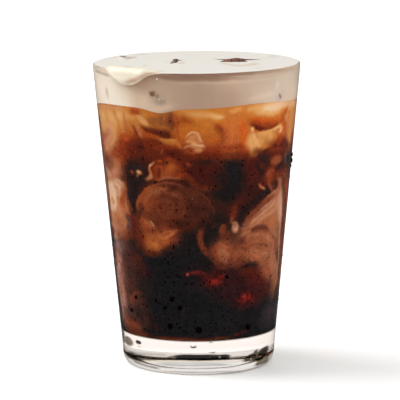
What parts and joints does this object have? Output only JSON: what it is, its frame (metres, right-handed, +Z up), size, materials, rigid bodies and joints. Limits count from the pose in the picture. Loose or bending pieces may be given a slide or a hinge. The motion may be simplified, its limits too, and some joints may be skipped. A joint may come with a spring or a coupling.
{
  "type": "chocolate cold brew",
  "caption": "Iced chocolate cold brew under a thick layer of cold foam, served brimful in a heavy-based clear tumbler, with a lobe of foam run over the lip and ice tips showing.",
  "frame": {"origin": "centre of the foot, on the surface the glass stands on", "axes": "+Z up along the glass's axis, -Y towards the front, where the foam has run over the lip on the left, +X to the right"},
  "size_m": [0.088, 0.088, 0.1314],
  "materials": {
    "clear_glass": "clear soda-lime glass, fire-polished, beaded with condensation",
    "cold_brew": "dark coffee, near black below and red-brown where light comes through, with cream marbled through its upper part",
    "cold_foam": "smooth, dense milk foam, pale cream with a faint cocoa tint",
    "stained_ice": "wet ice stained by coffee, with cream on it"
  },
  "bodies": {
    "root": {"tumbler": "clear_glass", "cold_brew": "cold_brew", "cold_foam": "cold_foam", "ice_right": "stained_ice", "ice_centre": "stained_ice", "ice_left": "stained_ice"}
  },
  "joints": []
}
